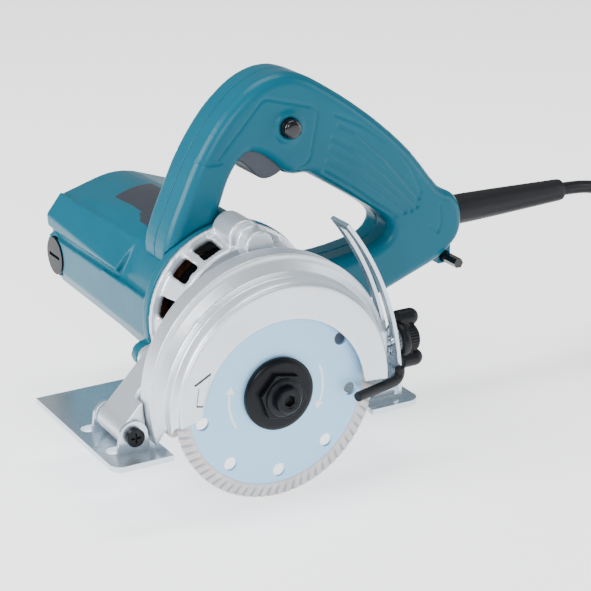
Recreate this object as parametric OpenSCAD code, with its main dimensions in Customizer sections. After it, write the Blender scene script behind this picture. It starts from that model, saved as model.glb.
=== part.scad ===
// Handheld stone saw: a motor lying across the blade drives it through one gear pair.
// X runs along the cut, with the cord at +X. Y runs along the shafts, with the blade at -Y. +Z is up.
// Every module is drawn about the middle of the blade and then moved by at_spindle().

/* [Blade] */
// Blade diameter
blade_d = 110; // [105:1:110]
// Thickness of the steel core
core_t = 1.8; // [1.4:0.1:2]
// Bore of the core
bore_d = 20; // [16:1:22]
// Width of the diamond rim
rim_w = 7; // [5:1:9]
// Number of round holes in the core
core_holes = 9; // [4:1:12]

/* [Base] */
// Deepest cut
cut_depth = 32.5; // [30:0.5:33]
// Thickness of the base plate
base_t = 3; // [2:0.5:3]
// Furthest that the base swings down, in degrees
base_swing = 26; // [10:1:27]
// Width of the slot in the depth guide
slot_w = 6.6; // [6.4:0.1:7]

/* [Motor] */
// Radius of the housing at its front
motor_r = 43; // [42:0.5:44]
// Radius of the housing at its back
motor_back_r = 37.5; // [36:0.5:39]
// Where the housing ends along Y
motor_back = 197; // [194:1:200]
// Number of teeth on the spindle gear
gear_teeth = 34; // [30:2:34]
// Number of teeth on the pinion
pinion_teeth = 18; // [18:2:22]

/* [Handle] */
// Width of the handle along Y
handle_w = 31; // [28:1:32]
// Wall of the handle shells
handle_wall = 3; // [2:0.5:3]
// How far the trigger swings, in degrees
trigger_swing = 9; // [5:1:9]

/* [Cord] */
// Diameter of the mains lead
cord_d = 7.5; // [7:0.5:8]
// Mean radius of the stored coil
coil_r = 41; // [38:1:44]

/* [Hidden] */
$fn = 64;

spindle_x = -29.8;                 // the blade's middle, from the middle of the saw's box
spindle_y = -91.5;
blade_r = blade_d / 2;
core_r = blade_r - rim_w;
fit = 0.05;                        // radial clearance of a running fit
shaft_r = 6;                       // spindle
motor_x = 3;                       // motor axis, from the spindle
motor_z = 25.8;
gear_d = norm([motor_x, motor_z]); // centre distance of the gear pair
tooth = 2 * gear_d / (gear_teeth + pinion_teeth);
boss_r = 43.8;                     // housing screws, from the motor axis: the top one
lug_r = 49;                        // and the two in the lugs
joint_y = 54;                      // where the gear housing meets the motor housing
brush_y = 181;
brush_z = 24;
sole_z = cut_depth - blade_r;      // underside of the base
plate_z = sole_z + base_t;         // its upper side
pivot = [-72, -11];                // base pivot, in x and z
ear_y = [11.5, 41.5];              // middles of the two ears
ear_t = 2;
guide_r = 143.5;                   // inside radius of the depth guide, about the pivot
guide_y = [2, 18];
guide_slot = [5, 36];              // ends of its slot, in degrees about the pivot
strip_t = 2;
rivet_y = [9.2, 15];
guide_top = 37.8;                  // end of the guide, in degrees about the pivot
sleeve_route = [[70.5, -0.8, -1.5], [70.5, -0.8, -3.5], [70, -1, -6], [68, -1.9, -7.6], [64, -3.2, -8],
    [52, -6.6, -8], [40, -10, -8]];
knob_a = 7.8;                      // angle of the clamping stud at full depth
handle_y = 72;                     // seam of the handle
near_y = handle_y - handle_w / 2;
far_y = handle_y + handle_w / 2;
trigger_at = [13, 104];            // trigger pin, in x and z
lead_z = 48.5;                     // height of the cord guard's axis
guard_end = 222;                   // free end of the cord guard
floor_z = -blade_r;
coil_at = [292, 34];               // middle of the stored coil
coil_w = 22.5;                     // its seven turns side by side
coil_h = 20.5;                     // and on each other

// The lead, from the handle through the cord guard, down to the stored coil.
lead_route = [[148, 72, 48.5], [167, 72, 48.5], [186, 72, 48.5], [205, 72, 48.5], [224, 72, 48.4],
    [236, 72, 47.8], [247, 72, 45.5], [256, 72, 41], [263, 72, 34.5], [268, 72, 26], [270.5, 72, 16],
    [272, 72.2, 5], [273.5, 72.5, -6], [276, 73, -17], [280.5, 73.8, -27], [287.5, 74.5, -35],
    [296, 74.6, -40.5]];
// The lead's last stretch, out of the coil's lowest turn and round it to the plug.
tail_route = [for (turn = [[112, 50], [98, 52.5], [84, 55.2], [68, 56.2], [52, 56.2], [36, 56.2], [20, 56.2],
    [5, 56.2]]) [coil_at[0] + turn[1] * cos(turn[0]), coil_at[1] + turn[1] * sin(turn[0]), -51.25],
    [348.2, 29, -51.25], [347.2, 19, -51], [345.6, 9, -50], [344.2, -1, -48], [343.2, -11, -45.5],
    [343, -20, -43]];
plug_at = [343, -20, -43];

// Points of a smooth curve through p, with n steps between each pair.
function spline(p, n) = [for (i = [0 : len(p) - 2], j = [0 : n - 1])
    let (a = p[max(i - 1, 0)], b = p[i], c = p[i + 1], d = p[min(i + 2, len(p) - 1)], t = j / n)
    0.5 * (2 * b + (c - a) * t + (2 * a - 5 * b + 4 * c - d) * t * t
        + (3 * b - a - 3 * c + d) * t * t * t), p[len(p) - 1]];
function arc(r, a0, a1, n, at = [0, 0]) = [for (i = [0 : n]) let (a = a0 + (a1 - a0) * i / n)
    at + r * [cos(a), sin(a)]];
// A gear's outline with square-shouldered teeth that stop just short of the pitch circle.
function gear_outline(n, r) = [for (i = [0 : n - 1], k = [0 : 3])
    let (a = (i + [0, 0.18, 0.52, 0.7][k]) * 360 / n, q = r - (k == 1 || k == 2 ? 0.15 : 2))
    q * [cos(a), sin(a)]];
// Rings of a tube swept along p, each square to the route.
function ring(p, i, r, n) = let (d = p[min(i + 1, len(p) - 1)] - p[max(i - 1, 0)], w = d / norm(d),
    u = cross(w, [0, 1, 0]), s = norm(u) > 0.3 ? u / norm(u) : [0, 0, 1], v = cross(w, s))
    [for (k = [0 : n - 1]) p[i] + r * (cos(360 * k / n) * s + sin(360 * k / n) * v)];

module at_spindle() { translate([spindle_x, spindle_y, blade_r]) children(); }
module at_motor() { translate([motor_x, 0, motor_z]) children(); }
// Extrudes an outline drawn in x and z from y0 to y1.
module along_y(y0, y1) { translate([0, y1, 0]) rotate([90, 0, 0]) linear_extrude(y1 - y0) children(); }
module rod_y(r, y0, y1, x = 0, z = 0, r2 = 0) {
    translate([x, y0, z]) rotate([-90, 0, 0])
        if (r2 > 0) cylinder(h = y1 - y0, r1 = r, r2 = r2); else cylinder(h = y1 - y0, r = r);
}
module rod_x(r, x0, x1, y, z, r2 = 0) {
    translate([x0, y, z]) rotate([0, 90, 0])
        if (r2 > 0) cylinder(h = x1 - x0, r1 = r, r2 = r2); else cylinder(h = x1 - x0, r = r);
}
// A screw along Y with its head at y0 and its tip at y1, whichever is the larger.
module screw_y(x, z, y0, y1, head_r, head_h, r) {
    way = y1 > y0 ? 1 : -1;
    translate([x, y0, z]) rotate([-90 * way, 0, 0]) difference() {
        union() {
            cylinder(h = head_h, r = head_r);
            cylinder(h = abs(y1 - y0), r = r);
        }
        for (turn = [0, 90]) rotate(turn) cube([head_r * 1.1, 0.9, 2.4], center = true);
    }
}
module tube(route, r, sides) {
    n = len(route);
    points = [for (i = [0 : n - 1]) each ring(route, i, r, sides)];
    faces = concat([[for (k = [0 : sides - 1]) k]],
        [[for (k = [0 : sides - 1]) n * sides - 1 - k]],
        [for (i = [0 : n - 2], k = [0 : sides - 1]) let (m = (k + 1) % sides)
            [i * sides + k, (i + 1) * sides + k, (i + 1) * sides + m, i * sides + m]]);
    polyhedron(points, faces, convexity = 6);
}

// ---- blade and spindle ----
module blade_core() at_spindle() color("lightsteelblue") difference() {
    rod_y(core_r, -core_t / 2, core_t / 2);
    rod_y(bore_d / 2, -2, 2);
    for (i = [1 : core_holes]) rotate([0, 360 * i / core_holes + 9.5, 0]) rod_y(3.4, -2, 2, 41.6);
}
module blade_rim() at_spindle() color("lightgray") difference() {
    rod_y(blade_r, -1.1, 1.1);
    rod_y(core_r, -2, 2);
}
module inner_flange() at_spindle() color("dimgray") difference() {
    union() {
        rod_y(17, core_t / 2, 5.5);
        rod_y(bore_d / 2 - fit, 0.1 - core_t / 2, 1);
    }
    rod_y(shaft_r, -2, 6);
}
module outer_flange() at_spindle() color("darkslategray") difference() {
    union() {
        rod_y(18.7, -3.6, -core_t / 2);
        rod_y(18.7, -4.8, -3.6, r2 = 17);
        rod_y(12.6, -8, -4.8, $fn = 6);
        rod_y(9.6, -9.4, -8);
    }
    rod_y(4.2, -10, 0);
}
module flange_bolt() at_spindle() color("dimgray") difference() {
    union() {
        rod_y(6.5, -14, -9.4);
        rod_y(4, -9.4, 13);
    }
    rod_y(3.1, -15, -11, $fn = 6);
}
module spindle() at_spindle() color("silver") difference() {
    union() {
        rod_y(shaft_r, 0.1 - core_t / 2, 32);
        rod_y(7.5, 19.4, 22);
        rod_y(5, 32, 42);
    }
    rod_y(4, -2, 14);
}
module spindle_gear() at_spindle() color("silver") difference() {
    along_y(22, 32) polygon(gear_outline(gear_teeth, gear_teeth * tooth / 2));
    rod_y(shaft_r, 21, 33);
    for (turn = [30 : 60 : 330]) rotate([0, turn, 0]) rod_y(2, 21, 33, 11);
}
module bearing(r_in, r_out, y0, y1, x = 0, z = 0) {
    difference() {
        rod_y(r_out, y0, y1, x, z);
        rod_y(r_in + fit, y0 - 1, y1 + 1, x, z);
        for (y = [y0 - 1, y1 - 0.5]) difference() {
            rod_y(r_out - 2, y, y + 1.5, x, z);
            rod_y(r_in + 2, y - 1, y + 2, x, z);
        }
    }
}
module spindle_bearings() at_spindle() color("silver") {
    bearing(shaft_r, 14, 11, 19);
    bearing(5, 11, 35, 42);
}

// ---- guard ----
// What is left of the guard's round stampings, in x and z. The right end is at z = low.
module guard_keep(low) polygon([[-80, -18.6], [-61.5, -18.6], [-56, -5.5], [-41, -1.5], [-22, -1.5],
    [-22, -18.6], [22, -18.6], [22, -2.5], [48, -2.5], [56, low], [80, low], [80, 90], [-80, 90]]);
module blade_guard() at_spindle() color("gainsboro") difference() {
    intersection() {
        union() {
            rod_y(57.5, -7.2, -5, 2.2, -1.2);
            rod_y(57.5, -5, -2, 2.2, -1.2, r2 = 60.3);
            rod_y(60.3, -2, 4, 2, -0.8);
            rod_y(60.3, 4, 7, 1.8, 0.4, r2 = 64.5);
            rod_y(66, 7, 18, 1.5, 2);
            rod_y(66, 18, 21, 1.5, 2, r2 = 64);
            along_y(6, 16) polygon([[58, -2], [67.6, 2], [67.6, 16], [58, 20]]);
        }
        union() {
            along_y(-9, 4) guard_keep(-3.2);
            along_y(4, 22) guard_keep(-9);
        }
    }
    rod_y(55.2, -4.8, -2, 2.2, -1.2, r2 = 58.3);          // room for the blade
    rod_y(58.3, -2.01, 6.2, 2, -0.8);
    rod_y(45, -8, 6, 1.5, -6);                           // the open face, round the flange
    difference() {
        rod_y(62.8, 9.2, 22, 1.5, 2);
        rod_y(24, 9, 22);
    }
    rod_y(30, 9.2, 22, motor_x, motor_z);
    rod_y(24.1, 9.2, 22);
    rod_y(19.4, 5, 10);
    for (p = guard_screw_at) rod_y(2.1, 5, 10, p[0], p[1]);
    rod_x(3, 56, 70, 10, stud_at[1]);
}
guard_screw_at = [[-16, 16], [14, 50], [-12, 44], [27, 28]];
stud_at = pivot + guide_r * [cos(knob_a), sin(knob_a)];
module guard_screws() at_spindle() color("darkgray")
    for (p = guard_screw_at) screw_y(p[0], p[1], 4.6, 16, 3.6, 1.6, 2.05);
module guard_stop() at_spindle() color("beige") rod_y(3.3, 6.2, 12.5, -52.6, -11.5);

// ---- gear housing ----
vent_angles = [114, 136, 166];
module gear_housing() at_spindle() color("silver") difference() {
    union() {
        rod_y(23.9, 9.3, 35);
        along_y(9.3, 35) {
            translate([motor_x, motor_z]) circle(29.8);
            polygon([[-22, 0], [-25, 24], [31, 24], [22, -4]]);
        }
        at_motor() {
            rod_y(39.5, 33, 51, r2 = 43.2);
            rod_y(45.5, 51, joint_y);
        }
        rod_y(9, 34, joint_y, motor_x, motor_z + 43);
        rod_y(7.5, 24, 36, motor_x + 2.5, motor_z + 41.2);
        for (a = [200, 340]) at_motor() rotate([0, -a, 0]) rod_y(6.5, 46, joint_y, lug_r);
        difference() {
            arm();
            rod_y(66.5, 5, 21.4, 1.5, 2);
        }
    }
    along_y(8, 55) translate([0, -38.7]) square([140, 40], center = true);
    rod_y(9, 9, 12);                                      // spindle and its bearings
    rod_y(14, 11, 20);
    rod_y(18.4, 19, 34);
    rod_y(11, 33, 42);
    rod_y(7, 41, 44);
    at_motor() {
        rod_y(11.5, 19, 34);
        rod_y(11, 33, 42);
        rod_y(6, 41, 44);
        rod_y(37.5, 43, joint_y + 1, r2 = 41.5);          // fan chamber
        difference() {
            rod_y(36.4, 36.5, 43.5);
            rod_y(14, 36, 44);
            rod_y(14, 36, 44, -motor_x, -motor_z);
        }
        for (a = vent_angles) vent(a);
        for (a = [70, 44, 18]) vent(a);
        for (a = [200, 340]) rotate([0, -a, 0]) rod_y(2.1, 20, joint_y + 1, lug_r);
        rod_y(2, 35.5, joint_y + 1, 0, boss_r);
    }
    for (p = guard_screw_at) rod_y(2.1, 9, 16, p[0], p[1]);
    rod_y(3.05, 10, 43, pivot[0], pivot[1]);
}
module arm() {
    along_y(ear_y[0] + ear_t / 2 + 0.4, ear_y[1] - ear_t / 2 - 0.4) {
        translate(pivot) circle(6.5);
        polygon([[-76.2, -6.8], [-46, 24.2], [-30, 30], [-18, 0], [-20, -16.5], [-68, -15.3]]);
    }
}
module vent(a) rotate([0, -a, 0]) translate([29, 37.5, -5.5]) cube([22, 13, 11]);
module housing_screws() at_spindle() color("darkgray") at_motor()
{
    for (a = [200, 340]) rotate([0, -a, 0])
        screw_y(lug_r, 0, 44.2, a == 200 ? joint_y + 5 : joint_y + 14, 3.6, 1.8, 2);
    screw_y(0, boss_r, joint_y + 8, 36, 3.6, 1.8, 2);     // the top one, put in from the motor's side
}

// ---- motor housing ----
module motor_solid() {
    at_motor() {
        rod_y(46, joint_y, joint_y + 6);
        rod_y(46, joint_y + 6, joint_y + 9, r2 = motor_r);
        rod_y(motor_r, joint_y + 5, 98, r2 = 40.2);
        for (a = [90, 200, 340]) rotate([0, -a, 0])
            rod_y(6.5, joint_y, a == 200 ? joint_y + 7 : joint_y + 17, a == 90 ? boss_r : lug_r);
    }
    motor_back_solid();
}
module motor_back_solid() at_motor() {
    hull() {
        along_y(88, 89) circle(40, $fn = 48);
        along_y(104, 105) { circle(41, $fn = 48); polygon([[-31, 29.5], [-40.6, 12], [0, 0]]); }
        along_y(motor_back - 6, motor_back - 5) {
            circle(motor_back_r, $fn = 48);
            polygon([[-32.6, 29.4], [-40.6, 17], [0, 0], [31, 29], [11, 36]]);
        }
        along_y(motor_back - 1, motor_back) {
            circle(motor_back_r - 4, $fn = 48);
            polygon([[-28, 28], [-36, 17], [0, 0], [28, 26], [11, 32.5]]);
        }
    }
    hull() {                                              // flat side that holds the brush cap
        along_y(62, 63) polygon([[-44, 11.6], [-44, -10], [-37, -21], [-10, -3], [-10, 3]]);
        along_y(188, 189) polygon([[-42.5, 8.4], [-42.5, -9], [-36, -20], [-10, -3], [-10, 3]]);
        along_y(motor_back - 5, motor_back - 4) polygon([[-38, 6], [-38, -8], [-33, -17], [-10, 0]]);
    }
    hull() {                                              // raised panel over it
        along_y(98, 99) polygon([[-29.4, 30], [-43.2, 15], [-39, 12], [-10, 5]]);
        along_y(189, 190) polygon([[-34.2, 31.2], [-43.2, 20], [-42.6, 13], [-36, 12], [-10, 5]]);
        along_y(motor_back - 4, motor_back - 3) polygon([[-30, 28.5], [-38.5, 18], [-38, 13], [-10, 5]]);
    }
}
module motor_housing() at_spindle() color("teal") {
    motor_shell();
    bearing_seat();
}
module motor_shell() difference() {
    union() {
        motor_solid();
        for (way = [0, 1]) mirror([way, 0, 0]) translate([way * -2 * motor_x, 0, 0])
            rod_x(12.4, -38.6 , -20, brush_y + 2, brush_z);
    }
    at_motor() {
        rod_y(39.5, joint_y - 1, 90);
        rod_y(36, 89, 146);
        rod_y(34, 145, motor_back - 4);
        for (a = [200, 340]) rotate([0, -a, 0])
            rod_y(2, joint_y - 1, a == 200 ? joint_y + 5.5 : joint_y + 14.5, lug_r);
        rod_y(2.1, joint_y - 1, joint_y + 7, 0, boss_r);
        rod_y(3.7, joint_y + 6.2, joint_y + 18, 0, boss_r);
        for (x = [-24 : 6 : 24]) if (abs(x) > 4) translate([x - 1.5, motor_back - 6, 12]) {
            cube([3, 8, 14]);
            translate([0, 0, -38]) cube([3, 8, 14]);
        }
        for (x = [-12 : 6 : 12]) translate([x - 1.5, 155, -45]) cube([3, 26, 14]);
    }
    rod_x(7, -50, -12, brush_y, brush_z);
    rod_x(7, 18, 60, brush_y, brush_z);
    rod_x(10.6, -43, -36.6, brush_y, brush_z);
    rod_x(10.6, motor_x * 2 + 36.6, 50, brush_y, brush_z);
    along_y(0, 300) translate([-100, -60]) square([200, 41.3]);
}
module bearing_seat() at_motor() difference() {
    rod_y(12.5, motor_back - 12, motor_back - 3.9);
    rod_y(9.5, motor_back - 13, motor_back - 3);
}
module rating_plate() at_spindle() color("dimgray") difference() {
    at_motor() intersection() {
        rod_y(41.6, 98, 153, r2 = 39.7);
        rotate([0, -103.5, 0]) translate([30, 97, -14]) cube([20, 57, 28]);
    }
    motor_solid();
}

// ---- motor ----
module fan() at_spindle() color("dimgray") at_motor() difference() {
    union() {
        rod_y(9, 44.5, 53.5);
        rod_y(34.5, 52, 53.5);
        for (i = [0 : 11]) rotate([0, 30 * i, 0]) translate([6, 45, -0.8]) cube([28.5, 8, 1.6]);
    }
    rod_y(4, 44, 55);
}
module armature_shaft() at_spindle() color("silver") at_motor() {
    rod_y(4, 32, motor_back - 11);
    rod_y(3, motor_back - 11, motor_back - 4.5);
    along_y(22, 32) rotate(360 / pinion_teeth * 0.5)
        polygon(gear_outline(pinion_teeth, pinion_teeth * tooth / 2));
}
module armature_core() at_spindle() color("gray") at_motor() difference() {
    rod_y(18.4, 94, 142);
    rod_y(4, 93, 143);
    for (i = [0 : 11]) rotate([0, 30 * i, 0]) translate([13, 93, -1]) cube([8, 50, 2]);
}
module armature_windings() at_spindle() color("chocolate") at_motor()
    for (y = [84, 142]) difference() {
        rod_y(16.5, y, y + 10);
        rod_y(4, y - 1, y + 11);
    }
module commutator() at_spindle() color("peru") at_motor() difference() {
    rod_y(11, 168, motor_back - 13);
    rod_y(4, 167, motor_back - 10);
    for (i = [0 : 23]) rotate([0, 15 * i, 0]) translate([9.5, 168, -0.25]) cube([3, 30, 0.5]);
}
module armature_bearings() at_spindle() color("silver") at_motor() {
    bearing(4, 11, 35, 42);
    bearing(3, 9.5, motor_back - 10.5, motor_back - 4.5);
}
module field_window(grow) for (way = [0, 180]) rotate(way)
    polygon(concat(arc(20.6 - grow, -38, 38, 12), arc(30.4 + grow, 40, -40, 12)));
module field_core() at_spindle() color("gray") at_motor() difference() {
    rod_y(36 - fit, 92, 144);
    rod_y(19.3, 91, 145);
    along_y(91, 145) field_window(0.3);
}
module field_coils() at_spindle() color("chocolate") at_motor() along_y(86, 150) field_window(0);
module for_each_brush() {
    children();
    translate([2 * motor_x, 0, 0]) mirror([1, 0, 0]) children();
}
module brush_holders() at_spindle() color("goldenrod") for_each_brush() difference() {
    rod_x(7 - fit, -37, -12.2, brush_y, brush_z);
    translate([-40, brush_y - 3.1, brush_z - 4.1]) cube([30, 6.2, 8.2]);
}
module carbon_brushes() at_spindle() color("black") for_each_brush()
    translate([-21, brush_y - 3, brush_z - 4]) cube([12.7, 6, 8]);
module brush_caps() at_spindle() color("dimgray") for_each_brush() difference() {
    rod_x(10.5, -40.4, -37, brush_y, brush_z);
    translate([-41, brush_y - 7, brush_z - 0.9]) cube([1.8, 14, 1.8]);
}

// ---- handle ----
handle_outer = [[-25, 38], [-29.5, 55], [-27, 68], [-19, 86], [-10, 104], [2.5, 121.5], [16, 134],
    [28, 140.3], [40, 142], [51, 139], [62, 132.8], [79, 121.3], [97, 107], [115, 89.8], [132, 68.5],
    [141, 63], [146, 56.5], [147.5, 47], [145.5, 39], [141, 33.5], [132, 27], [112, 19.5],
    [86, 10], [64, 0.8], [48, -4.8], [36, -5.5], [26, 0]];
handle_inner = [[40, 32], [50, 36.2], [62, 38], [72, 38.7], [84, 40.5], [93, 42.5], [99, 46.5],
    [101, 52], [97, 58], [85, 66.8], [66, 79.2], [53, 87.3], [45, 88], [37, 91], [28, 99],
    [19, 103], [12.5, 98.5], [7.5, 91], [3.5, 81], [1, 73], [-1, 58]];
module handle_outline() polygon(concat(spline(handle_outer, 3), spline(handle_inner, 3)));
handle_screw_at = [[-13, 82], [19, 126], [76, 100], [125, 38], [70, 21]];
module handle_solid(y0, y1) {
    along_y(y0, y0 + 1.2) offset(delta = -4.6) handle_outline();
    along_y(y0 + 0.8, y0 + 2.8) offset(delta = -2.6) handle_outline();
    along_y(y0 + 2.2, y0 + 5) offset(delta = -1.1) handle_outline();
    along_y(y0 + 4.4, y1) handle_outline();
}
module handle_cuts() {
    motor_solid();
    along_y(trigger_y0 - 0.5, trigger_y0 + trigger_w + 0.5) for (a = [0 : 3 : trigger_swing])
        translate(trigger_at) rotate(a) translate(-trigger_at) offset(delta = 0.8) trigger_outline();
    rod_x(8.3, 128, 150, handle_y, lead_z);
    rod_x(3.8, 106, 140, handle_y, lead_z);
}
module handle_near() at_spindle() color("teal") {
    difference() {
        translate([0, near_y, 0]) mirror([0, 0, 0]) handle_solid(0, handle_w / 2);
        along_y(near_y + handle_wall, handle_y + 1) offset(delta = -handle_wall) handle_outline();
        handle_cuts();
        rod_y(5.1, near_y - 1, near_y + 6, button_at[0], button_at[1]);
    }
    difference() {
        rod_y(8, near_y - 1.6, near_y + 1, button_at[0], button_at[1]);
        rod_y(5.1, near_y - 3, near_y + 3, button_at[0], button_at[1]);
    }
    for (p = handle_screw_at) difference() {
        rod_y(4.2, near_y + 2, handle_y, p[0], p[1]);
        rod_y(1.7, near_y + 5, handle_y + 1, p[0], p[1]);
    }
}
module handle_far() at_spindle() color("teal") difference() {
    union() {
        difference() {
            translate([0, 2 * handle_y, 0]) mirror([0, 1, 0]) translate([0, near_y, 0])
                handle_solid(0, handle_w / 2);
            along_y(handle_y - 1, far_y - handle_wall) offset(delta = -handle_wall) handle_outline();
            handle_cuts();
        }
        for (p = handle_screw_at) rod_y(4.2, handle_y, far_y - 2, p[0], p[1]);
    }
    for (p = handle_screw_at) {
        rod_y(1.75, handle_y - 1, far_y + 1, p[0], p[1]);
        rod_y(3.6, far_y - 4, far_y + 1, p[0], p[1]);
    }
}
module handle_screws() at_spindle() color("darkgray")
    for (p = handle_screw_at) screw_y(p[0], p[1], far_y - 1.6, near_y + 6, 3.4, 2.2, 1.65);
button_at = [40, 114.3];
trigger_w = 23;
trigger_y0 = handle_y - trigger_w / 2;
module trigger_outline() polygon(spline([[10.8, 105], [11, 101], [15, 99], [20, 94.5], [24, 90], [28.5, 88.2],
    [34, 89.2], [38.4, 92], [40, 96], [38, 101], [30, 107], [20, 111], [13, 109], [10.8, 105]], 3));
module trigger() at_spindle() color("dimgray") difference() {
    along_y(trigger_y0, trigger_y0 + trigger_w) trigger_outline();
    rod_y(1.5 + fit, 0, 100, trigger_at[0], trigger_at[1]);
}
module trigger_pin() at_spindle() color("silver")
    rod_y(1.5, near_y + handle_wall, far_y - handle_wall, trigger_at[0], trigger_at[1]);
module lock_button() at_spindle() color("black") {
    rod_y(4.9, near_y - 4.5, near_y + 5, button_at[0], button_at[1]);
    rod_y(4.9, near_y - 6, near_y - 4.5, button_at[0], button_at[1], r2 = 4.9);
    rod_y(6.3, near_y + 5, near_y + 6.5, button_at[0], button_at[1]);
}
module switch_body() at_spindle() color("dimgray")
    translate([46, handle_y, 115.5]) rotate([0, 37, 0]) translate([-16, -3, -1.5]) cube([34, 13, 14]);

// ---- cord ----
module cord_clamp() at_spindle() color("gray") difference() {
    translate([112, handle_y - 7, lead_z - 7]) cube([8, 14, 14]);
    rod_x(cord_d / 2, 111, 121, handle_y, lead_z);
}
module inner_lead() at_spindle() color("black") rod_x(cord_d / 2, 108, 148, handle_y, lead_z);
module cord_guard() at_spindle() color("black") difference() {
    union() {
        rod_x(8.2, 136, 150, handle_y, lead_z);
        rod_x(8.2, 150, guard_end, handle_y, lead_z, r2 = 6.1);
    }
    rod_x(cord_d / 2, 135, guard_end + 1, handle_y, lead_z);
}
module power_cord() at_spindle() color("black") tube(spline(lead_route, 2), cord_d / 2, 10);
module cord_coil() at_spindle() color("black") translate([coil_at[0], coil_at[1], floor_z])
    rotate_extrude() polygon([[coil_r - coil_w / 2, 4], [coil_r - coil_w / 2 + 4, 0],
        [coil_r + coil_w / 2 - 4, 0], [coil_r + coil_w / 2, 4], [coil_r + coil_w / 2, coil_h - 4],
        [coil_r + coil_w / 2 - 4, coil_h], [coil_r - coil_w / 2 + 4, coil_h],
        [coil_r - coil_w / 2, coil_h - 4]]);
module coil_tie() at_spindle() color("black")
    translate([coil_at[0], coil_at[1] - coil_r, floor_z + coil_h / 2]) difference() {
        cube([9, coil_w + 3, coil_h + 2], center = true);
        cube([10, coil_w + 0.4, coil_h + 0.4], center = true);
        translate([0, 0, -coil_h / 2 - 2]) cube([10, coil_w + 4, 4], center = true);
    }
module plug_tail() at_spindle() color("black") tube(spline(tail_route, 2), cord_d / 2, 10);
module plug_body() at_spindle() color("black") translate(plug_at) {
    rod_y(8, -14, 0, r2 = 5.5);
    rod_y(12, -34, -14);
}
module plug_pins() at_spindle() color("silver") translate(plug_at)
    for (way = [-1, 1]) rod_y(2.4, -53, -34, way * 9.5);

// ---- base ----
module base_plate() at_spindle() color("silver") difference() {
    union() {
        difference() {
            union() {
                translate([-88, 4, sole_z]) cube([162, 92.5, base_t]);
                translate([-82, -2, sole_z]) cube([25, 98.5, base_t]);
                translate([-82, 4, sole_z]) cylinder(h = base_t, r = 6);
            }
            translate([-57, -10, sole_z - 1]) cube([109, 69, base_t + 2]);
        }
        translate([52, -5, sole_z]) cube([22, 40, base_t]);
        translate([52, 2, sole_z]) cube([28.9, 94.5, base_t]);
        translate([74, 2, sole_z]) cylinder(h = base_t, r = 7);
        for (y = ear_y) ear(y);
    }
    for (y = ear_y) {
        for (x = [-80, -69]) rod_z(4, sole_z - 1, plate_z + 1, x, y + ear_t / 2 + 5);
        translate([-80, y + ear_t / 2 + 1, sole_z - 1]) cube([11, 8, base_t + 2]);
        rod_y(3, y - 3, y + 3, pivot[0], pivot[1]);
    }
    for (y = rivet_y) rod_z(1.6, sole_z - 1, plate_z + 1, 60, y);
}
module ear(y) along_y(y - ear_t / 2, y + ear_t / 2) {
    translate(pivot) circle(7.4);
    polygon([[-81, plate_z - 1], [-79.4, pivot[1]], [-64.6, pivot[1]], [-63.5, plate_z - 1]]);
}
module pivot_screws() at_spindle() color("black") {
    screw_y(pivot[0], pivot[1], ear_y[0] - ear_t / 2 - 3, ear_y[1] + ear_t / 2 + 2.5, 4.6, 3, 2.95);
    difference() {
        rod_y(5, ear_y[1] + ear_t / 2, ear_y[1] + ear_t / 2 + 4, pivot[0], pivot[1], $fn = 6);
        rod_y(2.95, ear_y[1], ear_y[1] + 6, pivot[0], pivot[1]);
    }
}
// A strip bent round the pivot, from a0 to a1 in degrees, from y0 to y1 and from r0 to r1.
module bent_strip(a0, a1, y0, y1, r0, r1) {
    translate([pivot[0], 0, pivot[1]]) rotate([90, -a0, 0]) rotate_extrude(angle = a1 - a0, $fn = 256)
        translate([r0, -y1]) square([r1 - r0, y1 - y0]);
}
module depth_guide() at_spindle() color("gainsboro") difference() {
    union() {
        bent_strip(-2.9, guide_top, guide_y[0], guide_y[1], guide_r, guide_r + strip_t);
        translate([54, guide_y[0] + 0.3, plate_z]) cube([18.2, guide_y[1] - guide_y[0] - 0.6, 2]);
        along_y(4, 6) polygon([[56, plate_z + 1], [72.3, plate_z + 1], [72.3, plate_z + 13]]);
    }
    bent_strip(guide_slot[0], guide_slot[1], 10 - slot_w / 2, 10 + slot_w / 2, guide_r - 1, guide_r + 3);
    for (y = rivet_y) rod_z(1.6, plate_z - 1, plate_z + 3, 60, y);
}
module guide_rivets() at_spindle() color("silver") for (y = rivet_y) {
    rod_z(1.6, sole_z + 0.2, plate_z + 2, 60, y);
    rod_z(2.6, plate_z + 2, plate_z + 3.2, 60, y);
}
module guide_rod() at_spindle() color("silver") rod_y(1.1, -0.8, guide_y[0], 72.2, -3);
module rod_z(r, z0, z1, x = 0, y = 0) { translate([x, y, z0]) cylinder(h = z1 - z0, r = r); }
module rod_sleeve() at_spindle() color("black") tube(spline(sleeve_route, 2), 2.6, 12);
module wing_knob() at_spindle() color("black") {
    along_x(stud_at[0] + 4.4, stud_at[0] + 8.4) circle(9.5);
    along_x(stud_at[0] + 8.4, stud_at[0] + 15.4) circle(7.2);
    along_x(stud_at[0] + 5.5, stud_at[0] + 12) rotate(-12) hull() for (y = [-10.6, 10.6])
        translate([0, y]) circle(4.4, $fn = 24);
    along_x(stud_at[0] + 5.5, stud_at[0] + 18.6) rotate(-12) for (y = [-10.6, 10.6])
        translate([0, y]) circle(4.5);
}
module along_x(x0, x1) {
    translate([x0, 10, stud_at[1]]) rotate([90, 0, 90]) linear_extrude(x1 - x0) children();
}
module knob_stud() at_spindle() color("silver") rod_x(2.9, 60, stud_at[0] + 4.4, 10, stud_at[1]);
module knob_washer() at_spindle() color("silver") difference() {
    rod_x(7, stud_at[0] + 3.1, stud_at[0] + 4.3, 10, stud_at[1]);
    rod_x(3, stud_at[0], stud_at[0] + 6, 10, stud_at[1]);
}
module hex_key() at_spindle() color("black") {
    rod_y(2.9, 50, 106, 139.5, 26, $fn = 6);
    translate([139.5, 103.5, 26]) rod_z(2.9, 0, 22, $fn = 6);
}
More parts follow.
